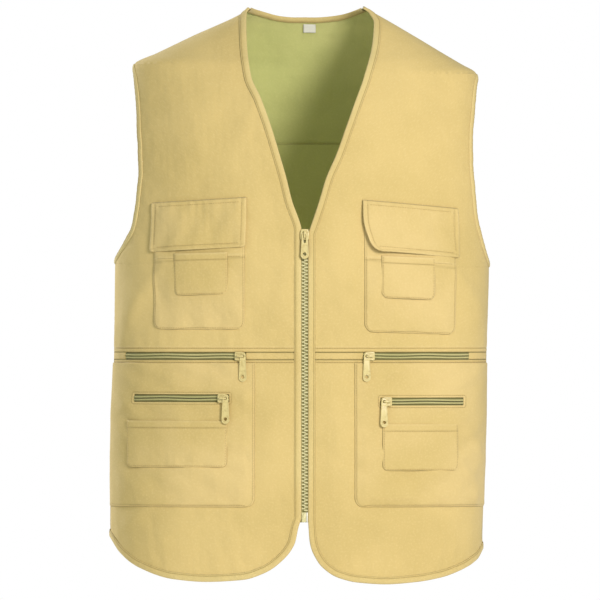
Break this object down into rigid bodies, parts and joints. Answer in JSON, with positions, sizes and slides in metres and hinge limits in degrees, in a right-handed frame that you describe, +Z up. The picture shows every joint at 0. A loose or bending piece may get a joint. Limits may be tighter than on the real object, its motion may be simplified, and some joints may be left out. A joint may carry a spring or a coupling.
{
  "type": "utility work vest",
  "caption": "Sleeveless work vest with a V neck, full front zip, flapped chest pockets, zipped waist and lower pockets, and bound edges.",
  "frame": {"origin": "middle of the back neck edge, where the vest hangs from the nape of the wearer's neck", "axes": "+X towards the wearer's left, +Y towards the back, +Z up along the height"},
  "size_m": [0.4634, 0.244, 0.7004],
  "materials": {
    "cloth": "khaki twill",
    "pocket_cloth": "khaki twill",
    "band": "folded khaki twill",
    "zip_tape": "woven khaki tape",
    "zip_coil": "satin khaki",
    "zip_metal": "satin khaki enamel",
    "label": "plain off-white"
  },
  "bodies": {
    "vest": {"front_upper_right": "cloth", "front_lower_right": "cloth", "waist_strip_inner_right": "cloth", "waist_strip_outer_right": "cloth", "chest_pocket_right": "pocket_cloth", "chest_flap_right": "pocket_cloth", "chest_patch_right": "pocket_cloth", "lower_pocket_right": "pocket_cloth", "lower_patch_right": "pocket_cloth", "front_band_right": "band", "armhole_band_right": "band", "waist_zip_tape_right": "zip_tape", "waist_zip_coil_right": "zip_coil", "waist_zip_slider_right": "zip_metal", "pocket_zip_tape_right": "zip_tape", "pocket_zip_coil_right": "zip_coil", "pocket_zip_slider_right": "zip_metal", "front_zip_tape_right": "zip_tape", "front_zip_teeth_right": "zip_coil", "front_upper_left": "cloth", "front_lower_left": "cloth", "waist_strip_inner_left": "cloth", "waist_strip_outer_left": "cloth", "chest_pocket_left": "pocket_cloth", "chest_flap_left": "pocket_cloth", "chest_patch_left": "pocket_cloth", "lower_pocket_left": "pocket_cloth", "lower_patch_left": "pocket_cloth", "front_band_left": "band", "armhole_band_left": "band", "waist_zip_tape_left": "zip_tape", "waist_zip_coil_left": "zip_coil", "waist_zip_slider_left": "zip_metal", "pocket_zip_tape_left": "zip_tape", "pocket_zip_coil_left": "zip_coil", "pocket_zip_slider_left": "zip_metal", "front_zip_tape_left": "zip_tape", "front_zip_teeth_left": "zip_coil", "back_body": "cloth", "back_yoke": "cloth", "hem_band_back": "band", "neck_band": "band", "size_label": "label", "front_zip_box": "zip_coil", "front_zip_pin": "zip_coil", "front_zip_slider": "zip_metal"},
    "front_zip_tab": {"front_zip_tab": "zip_metal"},
    "waist_zip_tab_right": {"waist_zip_tab_right": "zip_metal"},
    "waist_zip_tab_left": {"waist_zip_tab_left": "zip_metal"},
    "pocket_zip_tab_right": {"pocket_zip_tab_right": "zip_metal"},
    "pocket_zip_tab_left": {"pocket_zip_tab_left": "zip_metal"}
  },
  "joints": [
    {"name": "front_zip_tab_hinge", "type": "hinge", "parent": "vest", "child": "front_zip_tab", "pos_m": [0, -0.18475, -0.26358], "axis": [-1, 0, 0], "range_deg": [0, 165]},
    {"name": "waist_zip_tab_right_hinge", "type": "hinge", "parent": "vest", "child": "waist_zip_tab_right", "pos_m": [-0.07489, -0.17406, -0.41208], "axis": [-0.1251, -0.992, -0.0155], "range_deg": [-40, 130]},
    {"name": "waist_zip_tab_left_hinge", "type": "hinge", "parent": "vest", "child": "waist_zip_tab_left", "pos_m": [0.07496, -0.1736, -0.41209], "axis": [0.1402, -0.99, -0.0174], "range_deg": [-130, 40]},
    {"name": "pocket_zip_tab_right_hinge", "type": "hinge", "parent": "vest", "child": "pocket_zip_tab_right", "pos_m": [-0.09574, -0.17442, -0.46304], "axis": [-0.1683, -0.9857, -0.0045], "range_deg": [-40, 130]},
    {"name": "pocket_zip_tab_left_hinge", "type": "hinge", "parent": "vest", "child": "pocket_zip_tab_left", "pos_m": [0.09598, -0.17335, -0.46707], "axis": [0.1951, -0.9808, -0.0078], "range_deg": [-130, 40]}
  ]
}
